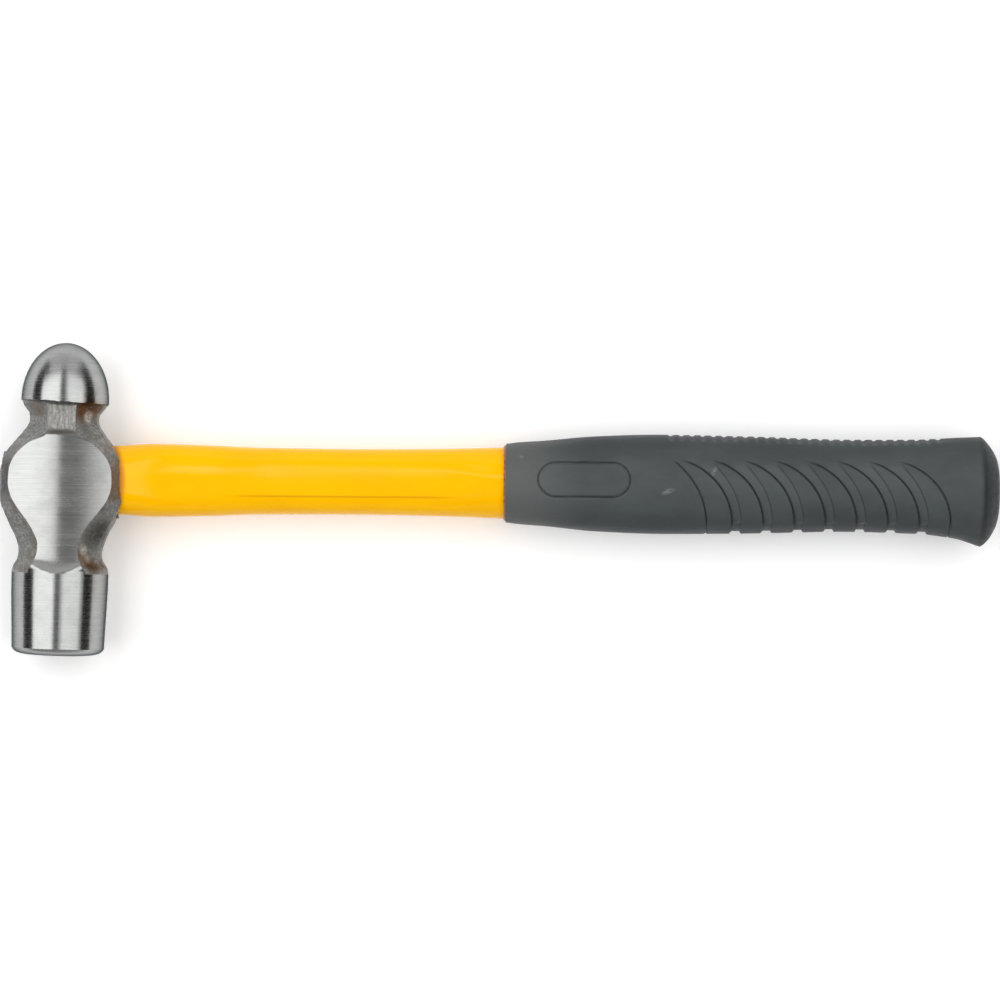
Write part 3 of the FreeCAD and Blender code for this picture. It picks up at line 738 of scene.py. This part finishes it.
def ridge_drop(x):
    """How far the ground face falls away from its soft ridge: it is slightly crowned."""
    off = np.asarray(x, float) - RIDGE_PLACE
    fall = math.tan(math.radians(RIDGE_TURN)) * RIDGE_SOFT
    bend = np.log(np.cosh(off / RIDGE_SOFT)) * fall
    return off**2 / (2 * CROWN_RADIUS) + bend - RIDGE_PLACE**2 / (2 * CROWN_RADIUS)


def quarter(side, flank, edge, top, roundness, sign, ridge, ground):
    """Points from the flank's middle round to the top's middle, as (x, z).

    Where the strip is ground into the poll's shoulder, its top is whichever surface is lower.
    """
    corner_z = top - ridge * float(ridge_drop(sign * edge))
    straight = [
        (np.linspace(side, side, FLANK_STEPS + 1), np.linspace(0, flank, FLANK_STEPS + 1)),
        (np.linspace(side, edge, BEVEL_STEPS + 1), np.linspace(flank, corner_z, BEVEL_STEPS + 1)),
        (np.linspace(edge, 0, CHEEK_STEPS + 1), None),
    ]
    x = np.concatenate([part[0][(i > 0) :] for i, part in enumerate(straight)])
    across = straight[2][0]
    roof = top - ridge * ridge_drop(sign * across)
    z = np.concatenate([straight[0][1], straight[1][1][1:], roof[1:]])
    if roundness > 0:
        radius = (side + top) / 2
        at_flank = math.asin(min(flank / radius, 1))
        at_edge = math.acos(min(edge / radius, 1))
        angles = np.concatenate(
            [
                np.linspace(0, at_flank, FLANK_STEPS + 1),
                np.linspace(at_flank, at_edge, BEVEL_STEPS + 1)[1:],
                np.linspace(at_edge, math.pi / 2, CHEEK_STEPS + 1)[1:],
            ]
        )
        x = x * (1 - roundness) + side * np.cos(angles) * roundness
        if ground:
            z = z * (1 - roundness) + POLL_RADIUS * np.sin(angles) * roundness
            z = np.minimum(z, top - ridge * ridge_drop(sign * x))
        else:
            z = z * (1 - roundness) + top * np.sin(angles) * roundness
    return np.column_stack([sign * x, z])


def turned_radius(y):
    """Radius of the turned poll or peen."""
    if y > 0:
        reach = min((y - PEEN_CENTRE) / PEEN_HEIGHT, 1)
        return PEEN_RADIUS * math.sqrt(max(1 - max(reach, 0) ** 2, 0))
    if y < FACE_EDGE[-1][0]:
        return float(smooth_through(FACE_EDGE, 1, y))
    return FACE_EDGE[-1][1] + POLL_SWELL * float(ease(-56.5, -31.5, y)) ** 0.8


def head_rows():
    """Rows from the striking face to the peen's top, closest where the shape turns fastest."""
    crown = FACE_EDGE[0][0] + 0.4 * np.linspace(0.02, 1, 9) ** 2
    edge = np.array([-57.66, -57.5, -57.3, -57.05, -56.75, -56.4, -56.0, -55.6])
    poll = spaced([(-55.0, 0.6), (-31.6, 0.35), (POLL_SHOULDER, 1)])
    middle = [(-30.1, 0.24), (-24, 0.34), (13.9, 0.19), (GRIND_TOP, 0.24), (UNDERCUT_END, 1)]
    rim = spaced([(22.1, 0.3), (25.1, 0.15), (PEEN_RIM - 0.01, 1)])
    ball = PEEN_CENTRE + PEEN_HEIGHT * np.sin(np.linspace(0, math.pi / 2, 60))[:-1]
    rows = [crown, edge, poll, spaced(middle), rim, [PEEN_RIM + 0.12], ball]
    return np.concatenate(rows)


def forge(rings, rows):
    """Uneven forged surface: pushes the points that aren't ground or turned in and out."""
    columns = rings.shape[1]
    ground = ground_columns(columns)
    centre = rings.mean(1, keepdims=True)
    away = rings - centre
    away[:, :, 1] = 0
    away /= np.maximum(np.linalg.norm(away, axis=2, keepdims=True), 1e-6)
    for r, y in enumerate(rows):
        if not POLL_SHOULDER < y < PEEN_RIM:
            continue
        near = float(ease(POLL_SHOULDER, -29, y) * (1 - ease(24.6, PEEN_RIM, y)))
        flat = 1.0 if y < GRIND_TOP + 0.01 else 0.25
        for c in range(columns):
            amount = near * (1 - flat * ground[c])
            if amount <= 0:
                continue
            p = Vector(rings[r, c])
            rough = noise.noise(p * 0.25) * 0.16 + noise.noise(p * 0.75) * 0.16
            rough += noise.noise(p * 2.1) * 0.07
            rough -= pocket_depth(y, c, rings[r, c, 0])
            rings[r, c] += away[r, c] * rough * amount
    return ragged_rim(rings, rows)


def from_flank(c):
    """How many columns a column is from the nearer flank's middle."""
    place = c % (2 * QUARTER_STEPS)
    return min(place, 2 * QUARTER_STEPS - place)


def pocket_depth(y, c, x):
    """The scooped hollow beside the lower neck, on the side towards the handle."""
    place = from_flank(c)
    across = (place - FLANK_STEPS + POCKET_REACH) / (BEVEL_STEPS + POCKET_REACH)
    if x < 0 or not 0 < across < 1:
        return 0.0
    bowl = math.sin(math.pi * across) ** 0.7
    return POCKET_DEPTH * bowl * float(ease(-29.3, -27.9, y) * (1 - ease(-19, -9, y)))


def ragged_rim(rings, rows):
    """The peen's lower edge isn't quite level, and it is a little torn."""
    for r, y in enumerate(rows):
        near = float(ease(24.3, 25.2, y) * (1 - ease(25.9, 28.5, y)))
        if near > 0:
            for point in rings[r]:
                torn = noise.noise(Vector(point) * 0.55)
                point[1] += near * (RIM_TORN * torn - RIM_SLOPE * point[0])
    return rings


def ground_columns(columns):
    """How much each column belongs to the ground face, from 0 to 1."""
    start = FLANK_STEPS + BEVEL_STEPS
    amounts = []
    for c in range(columns):
        amounts.append(max(0.0, min(1.0, 1 - (start - from_flank(c)) / 2)))
    return amounts


def hammer_head():
    """The forging: one skin with four finishes, and the eye cut through it."""
    rows = head_rows()
    rings = np.array([section(y) for y in rows])
    rings = forge(rings, rows)
    columns = rings.shape[1]
    ground = ground_columns(columns)

    def face_material(r, c):
        y = (rows[r] + rows[min(r + 1, len(rows) - 1)]) / 2
        if y < POLL_SHOULDER or y > PEEN_RIM - 0.1:
            return TURNED
        top = ground[c] >= 1 and ground[(c + 1) % columns] >= 1
        if top and y < WHEEL_START:
            x, _, z = rings[r, c]
            return TURNED if math.hypot(x, z) > POLL_RADIUS - 0.02 else GROUND
        if top and y < GRIND_TOP:
            return GROUND
        if top and FILED_FROM < y < FILED_TO:
            return FILED
        return FORGED

    head = skin("hammer_head_forging", rings, face_material, lean=HEAD_LEAN)
    cut_eye(head)
    sharpen(head, 24)
    finishes = (turned_steel(), ground_steel(), forged_steel(), filed_steel())
    return piece(head, "hammer_head", "steel", *finishes)


def oval_ring(x, high, wide, sag=0.0, count=96, square=2.0):
    """An ellipse across the handle, or a squarer oval where the exponent is more than 2."""
    turn = np.linspace(0, 2 * math.pi, count, endpoint=False)
    across, up = (
        np.sign(part) * np.abs(part) ** (2 / square) for part in (np.cos(turn), np.sin(turn))
    )
    return np.column_stack([np.full(count, x), high * across - sag, wide * up])


def cut_eye(head):
    """Cuts the oval eye right through along the handle's axis."""
    reach = 30.0
    rings = [oval_ring(x, EYE_HIGH, EYE_WIDE) for x in (-reach, reach)]
    tool = skin("eye_tool", rings, lambda r, c: FORGED)
    cut = head.modifiers.new("eye", "BOOLEAN")
    cut.operation = "DIFFERENCE"
    cut.solver = "EXACT"
    cut.object = tool
    evaluated = head.evaluated_get(bpy.context.evaluated_depsgraph_get())
    mesh = bpy.data.meshes.new_from_object(evaluated)
    head.modifiers.clear()
    head.data = mesh
    bpy.data.objects.remove(tool)


# Handle


def sections(table, at):
    """Half height, half width and sag of a table of ovals at each place."""
    width = len(table[0])
    values = [smooth_through(table, column, at) for column in range(1, width)]
    if width < 4:
        values.append(np.zeros_like(values[0]))
    return values


def handle_jacket():
    """The moulded jacket: an oval tube round the rod."""
    count = 256
    rows = [(JACKET_START, 1.2), (16, 0.5), (25, 1.0), (JACKET[-1][0], 4.0), (JACKET_END, 1)]
    outside = spaced(rows)
    high, wide, _ = sections(JACKET, outside)
    rings = []
    for x, h, w in zip(outside, high, wide):
        square = 2 + (SHAFT_SQUARE - 2) * float(ease(20, 34, x) * (1 - ease(128, 143, x)))
        rings.append(press_land(oval_ring(x, h, w, count=count, square=square), x))
    bore = (ROD_HIGH + TOUCH, ROD_WIDE + TOUCH)
    rings = [oval_ring(JACKET_START, *bore, count=count)] + rings
    rings.append(oval_ring(JACKET_END, *bore, count=count))
    jacket = skin("handle_jacket_moulding", rings, loop=True)
    sharpen(jacket, 40)
    return piece(jacket, "handle_jacket", "yellow_jacket", yellow_plastic())


def press_land(ring, x):
    """The long land on both sides of the shaft: flatter than the oval, with a step at its edges."""
    depth = float(ease(50, 68, x) * (1 - ease(114, 138, x)))
    if depth == 0:
        return ring
    low, high = LAND
    across, level = ring[:, 1], np.abs(ring[:, 2])
    tall, wide = across.max(), level.max()
    at = [wide * (1 - abs(edge / tall) ** SHAFT_SQUARE) ** (1 / SHAFT_SQUARE) for edge in LAND]
    share = (across - low) / (high - low)
    chord = at[0] + (at[1] - at[0]) * share
    sunk = np.where((share > 0) & (share < 1), level - chord, 0) * LAND_FLATNESS
    inside = ease(low, low + LAND_EDGE, across) * (1 - ease(high - LAND_EDGE, high, across))
    step = (LAND_PROUD * (1 - share) + LAND_CREST * share) * inside
    ring[:, 2] -= np.sign(ring[:, 2]) * (sunk - step) * depth
    return ring


def pattern_depth(x, y, high):
    """Depth of the grip's moulded pattern at points on its surface."""
    depth = BADGE_DEPTH * ease(0.55, 0.12, badge_distance(x, y))
    depth = np.maximum(depth, channel_depth(x, y))
    across = np.abs((x - RIB_FIRST) % RIB_PITCH - RIB_PITCH / 2)
    slot = ease(0.85, 1.35, across)
    slot *= ease(RIBS[0], RIBS[0] + 0.6, x) * ease(RIBS[1], RIBS[1] - 0.7, x)
    depth = np.maximum(depth, RIB_DEPTH * slot * ease(high - 2.4, high - 0.9, y))
    past = x - CHANNEL_FIRST - NOTCH_OFFSET
    notch = np.clip(np.round(past / CHANNEL_PITCH), 0, CHANNELS - 1)
    off = np.abs(past - notch * CHANNEL_PITCH)
    return np.maximum(depth, NOTCH_DEPTH * ease(1.75, 1.2, off) * ease(-11.5, -13.5, y))


def badge_distance(x, y):
    """Distance from the badge's outline."""
    centre_x, centre_y, straight, half = BADGE
    past = np.maximum(np.abs(x - centre_x) - straight, 0)
    return np.abs(np.hypot(past, y - centre_y) - half)


def channel_depth(x, y):
    """Curved channels, sharp on the side towards the head and fading on the other."""
    bend = np.sqrt(np.maximum(CHANNEL_BEND**2 - (y - CHANNEL_BEND_Y) ** 2, 4.0))
    along = x - CHANNEL_FIRST + CHANNEL_BEND - bend
    number = np.floor(along / CHANNEL_PITCH + 0.02)
    past = (along - number * CHANNEL_PITCH) * bend / CHANNEL_BEND
    inside = ease(CHANNEL_TOP, CHANNEL_TOP - 2.2, y)
    wall = ease(-0.2, 0.2, past)
    slope = np.clip(1 - past / CHANNEL_WIDTH, 0, 1) ** 0.8
    depth = CHANNEL_DEPTH * wall * slope * inside * ((number >= 0) & (number < CHANNELS))
    line = ease(0.5, 0.1, np.abs(past)) * (number == CHANNELS)
    lead = np.abs(np.hypot(x - LEAD_LINE[0], y - LEAD_LINE[1]) - LEAD_LINE[2])
    line = np.maximum(line, ease(0.5, 0.1, lead) * (x > LEAD_START))
    return np.maximum(depth, LINE_DEPTH * line * inside * (y < CHANNEL_TOP))


def grip_sleeve():
    """The rubber sleeve, from its closed bore round the lip to the butt's cap."""
    count = 260
    rows = spaced(
        [(147.2, 0.8), (156, 0.41), (189, 1.0), (198, 0.41), (294, 1.0), (302.4, 0.3), (302.9, 1)]
    )
    high, wide, sag = sections(SLEEVE, rows)
    outer = [oval_ring(x, h, w, s, count) for x, h, w, s in zip(rows, high, wide, sag)]
    outer = [press_pattern(ring) for ring in outer]
    lip = [
        oval_ring(146.35, 12.5, 9.55, 0, count),
        oval_ring(146.2, 12.75, 9.85, 0, count),
        oval_ring(146.3, 12.98, 10.05, 0, count),
        oval_ring(146.65, 13.1, 10.2, 0, count),
    ]
    cap = [oval_ring(*station, count) for station in rounded_cap()]
    bore = [
        oval_ring(JACKET_END + 0.3, high_, wide_, 0, count)
        for high_, wide_ in ((4.0, 3.0), (12.0, 9.05))
    ]
    bore += [oval_ring(x, *SLEEVE_BORE, 0, count) for x in (290.0, 220.0, 150.0, 146.6)]
    sleeve = skin("grip_sleeve_moulding", bore + lip + outer + cap)
    sharpen(sleeve, 40)
    return piece(sleeve, "grip_sleeve", "grip_rubber", grip_rubber())


def rounded_cap():
    """Place and oval of each ring of the butt's end."""
    at = np.concatenate([[303.1], np.linspace(CAP_START, BUTT_CAP[-1][0], 26)])
    table = [SLEEVE[-1]] + BUTT_CAP
    return np.column_stack([at, *sections(table, at)])


def press_pattern(ring):
    """Presses the moulded pattern into one ring of the sleeve."""
    x, y, z = ring.T
    high, wide = np.abs(y).max(), np.abs(z).max()
    normal = np.column_stack([np.zeros_like(y), y / high**2, z / wide**2])
    normal /= np.linalg.norm(normal, axis=1, keepdims=True)
    return ring - normal * pattern_depth(x, y, high)[:, None]


def grip_adhesive():
    """Reddish glue squeezed out in an uneven bead where the sleeve stops."""
    count = 160
    inner = [oval_ring(x, *GLUE_INSIDE, 0, count) for x in (297.0, 220.0, 146.6)]
    bead = []
    for step in range(7):
        turn = math.pi * step / 6
        x = 145.95 - 0.5 * math.sin(turn) + 0.3 * (1 - math.cos(turn)) / 2
        grow = 0.1 + 0.62 * (1 - math.cos(turn)) / 2
        bead.append(oval_ring(x, 11.75 + grow, 8.8 + grow, 0, count))
    for ring in bead:
        for i, point in enumerate(ring):
            rough = noise.noise(Vector((0, point[1], point[2])) * 0.9)
            ring[i, 0] += 0.16 * rough
    outer = [oval_ring(x, *GLUE_OUTSIDE, 0, count) for x in (150.0, 220.0, 297.0)]
    glue = skin("grip_adhesive_bead", inner + bead + outer, loop=True)
    sharpen(glue, 50)
    finish = dull("glue", (0.20, 0.06, 0.02), (0.42, 0.17, 0.05), 0.35, 0.9)
    return piece(glue, "grip_adhesive", "glue", finish)


def eye_seal_ring():
    """Brown resin line in the mouth of the eye, whose dark colour also stands for the painted shade
    of the gap there, with a burr squeezed out at the lower end.
    """
    count = 200
    walls = [(0, 11.8, 8.7), (0.6, 11.83, 8.73), (0.9, 11.83, 8.73), (1, 11.7, 8.58)]
    walls += [(0.9, 11.45, 8.3), (0.6, 11.4, 8.27), (0, 11.3, 8.2)]
    rings = [oval_ring(SEAL_START, h, w, 0, count) for _, h, w in walls]
    for (share, _, _), ring in zip(walls, rings):
        for point in ring:
            side = float(smooth_through(SIDE, 1, point[1], flowing=True))
            lip = min(side + point[1] * math.tan(HEAD_LEAN), SEAL_LIMIT) - SEAL_SUNK
            rough = 0.35 * noise.noise(Vector((3, point[1], point[2])) * 0.6)
            burr = math.exp(-(((point[1] + 11.9) / 0.8) ** 2) - ((point[2] - 2.0) / 2.2) ** 2)
            point[0] += share * (lip + rough - SEAL_START + 1.5 * burr)
            point[1] -= 1.3 * burr * share
    seal = skin("eye_seal_bead_and_gap_shade", rings, loop=True)
    sharpen(seal, 50)
    finish = dull("seal", (0.035, 0.022, 0.014), (0.12, 0.065, 0.03), 0.5, 0.7)
    return piece(seal, "eye_seal_ring", "seal", finish)


def eye_resin():
    """Poured filling round the rod, domed where it closes the eye on the far side."""
    count = 128
    bore = (ROD_HIGH + TOUCH, ROD_WIDE + TOUCH)
    cavity = [oval_ring(-19.35, 2, 1.4, 0, count)]
    cavity += [oval_ring(x, *bore, 0, count) for x in (-19.35, -10.0, 5.0, 13.45)]
    outside = (EYE_HIGH - TOUCH, EYE_WIDE - TOUCH)
    body = [oval_ring(x, *outside, 0, count) for x in (13.45, 0.0, -12.0)]
    dome = []
    for share in (1.0, 0.97, 0.9, 0.75, 0.55, 0.3, 0.1):
        ring = oval_ring(0, EYE_HIGH * share, EYE_WIDE * share, 0, count)
        side = smooth_through(SIDE, 1, ring[:, 1], flowing=True)
        bevel = BEVEL_FALL * np.maximum(np.abs(ring[:, 2]) - BEVEL_START, 0)
        swell = PLUG_SWELL * (1 - share**2) - (0.65 if share > 0.98 else 0.4)
        ring[:, 0] = ring[:, 1] * math.tan(HEAD_LEAN) + bevel - side - swell
        ring[:, 1:] *= 1 - 0.002 / share
        dome.append(ring)
    resin = skin("eye_resin_plug", cavity + body + dome)
    sharpen(resin, 50)
    finish = dull("resin", (0.13, 0.12, 0.13), (0.21, 0.20, 0.21), 0.3, 0.25)
    return piece(resin, "eye_resin", "resin", finish)


hammer_head()
jacket = handle_jacket()
sleeve = grip_sleeve()
grip_adhesive()
eye_seal_ring()
eye_resin()
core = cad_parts["handle_core"]
core.data.materials.clear()
core.data.materials.append(fibreglass())


# Floor, lights and camera


def floor():
    """The white sheet that the hammer lies on."""
    size = 6.0
    mesh = bpy.data.meshes.new("floor")
    corners = [(-size, -size, 0), (size, -size, 0), (size, size, 0), (-size, size, 0)]
    mesh.from_pydata(corners, [], [(0, 1, 2, 3)])
    thing = bpy.data.objects.new("floor", mesh)
    thing.location.z = -0.0001
    bpy.context.scene.collection.objects.link(thing)
    n = Nodes("floor_paint")
    cloud = n.noise(n.stretched((0.002, 0.002, 0.002)), 2)
    n.set(
        Base_Color=n.mix(n.ramp(cloud, 0.3, 0.7), (0.93, 0.93, 0.93), (0.95, 0.95, 0.95)),
        Roughness=0.9,
        Emission_Color=(1.0, 1.0, 1.0),
        Emission_Strength=0.15,
        Specular_IOR_Level=0.1,
    )
    thing.data.materials.append(n.material)
    thing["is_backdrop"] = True


def softbox(name, along, across, height, radiance, glossy=True):
    """A level light over the span along X and across Y, in shares of its height."""
    lamp = bpy.data.lights.new(name, "AREA")
    lamp.shape = "RECTANGLE"
    lamp.size = (along[1] - along[0]) * height
    lamp.size_y = (across[1] - across[0]) * height
    lamp.energy = radiance * math.pi * lamp.size * lamp.size_y
    thing = bpy.data.objects.new(name, lamp)
    thing.location = (EYE.x + sum(along) / 2 * height, sum(across) / 2 * height, height)
    thing.visible_glossy = glossy
    bpy.context.scene.collection.objects.link(thing)
    return thing


LIGHT_HEIGHT = 2.0
STRIP_HEIGHT = 1.99  # just under the other lights
KEY_ACROSS = (-0.6, 1.0)
KEYS = [  # span along the handle from the head, then radiance
    ("key_left", (-1.75, -0.18), 2.3),
    ("gap_start", (-0.18, -0.13), 1.5),
    ("gap", (-0.13, 0.11), 0.17),
    ("gap_edge", (0.11, 0.22), 1.1),
    ("key_right", (0.22, 1.45), 1.85),
    ("key_tail", (1.45, 1.9), 0.9),
]
STRIPS = [  # span along, span across and radiance of the strips that light only the plastics
    ("strip_near", (-0.055, -0.008), (0.14, 0.42), 4.6),
    ("strip_far", (0.012, 0.075), (0.24, 0.33), 4.0),
]
PANELS = [("back_panel", 1, 0.75), ("front_panel", -1, 0.4)]  # upright, on either side
PANEL_SPAN = 1.8  # height; the panels are twice as wide
PANEL_DISTANCE = 2.4
PANEL_HEIGHT = 0.95

floor()
for name, along, radiance in KEYS:
    softbox(name, along, KEY_ACROSS, LIGHT_HEIGHT, radiance)
softbox("fill", (-1.2, 1.2), (-0.9, 1.3), LIGHT_HEIGHT, 0.85, glossy=False)
plastics = bpy.data.collections.new("plastics")
plastics.objects.link(jacket)
plastics.objects.link(sleeve)
for name, along, across, radiance in STRIPS:
    lamp = softbox(name, along, across, STRIP_HEIGHT, radiance)
    lamp.light_linking.receiver_collection = plastics
for name, side, radiance in PANELS:
    panel = softbox(name, (-1.0, 1.0), (-0.5, 0.5), PANEL_SPAN, radiance)
    panel.location.y = side * PANEL_DISTANCE
    panel.location.z = PANEL_HEIGHT
    panel.rotation_euler.x = math.radians(-90 * side)
world = bpy.data.worlds.new("studio")
world.use_nodes = True
background = world.node_tree.nodes["Background"]
background.inputs["Color"].default_value = (1, 1, 1, 1)
background.inputs["Strength"].default_value = 0.03
bpy.context.scene.world = world
bpy.context.scene.view_settings.view_transform = "Standard"

CAMERA_HEIGHT = 1.5
FRAME_WIDTH = 0.3303
CAMERA_PLACE = (0.0004, 0.0009)
CAMERA_ROLL = math.radians(0.45)
lens = bpy.data.cameras.new("camera")
lens.sensor_width = 36.0
lens.lens = lens.sensor_width * CAMERA_HEIGHT / FRAME_WIDTH
camera = bpy.data.objects.new("camera", lens)
camera.location = (*CAMERA_PLACE, EYE.z + CAMERA_HEIGHT)
camera.rotation_euler = Euler((0, 0, CAMERA_ROLL))
bpy.context.scene.collection.objects.link(camera)
bpy.context.scene.camera = camera

boxes = {"cad": cad_box, "visual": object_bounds()}
{key: [list(corner) for corner in box] for key, box in boxes.items()}
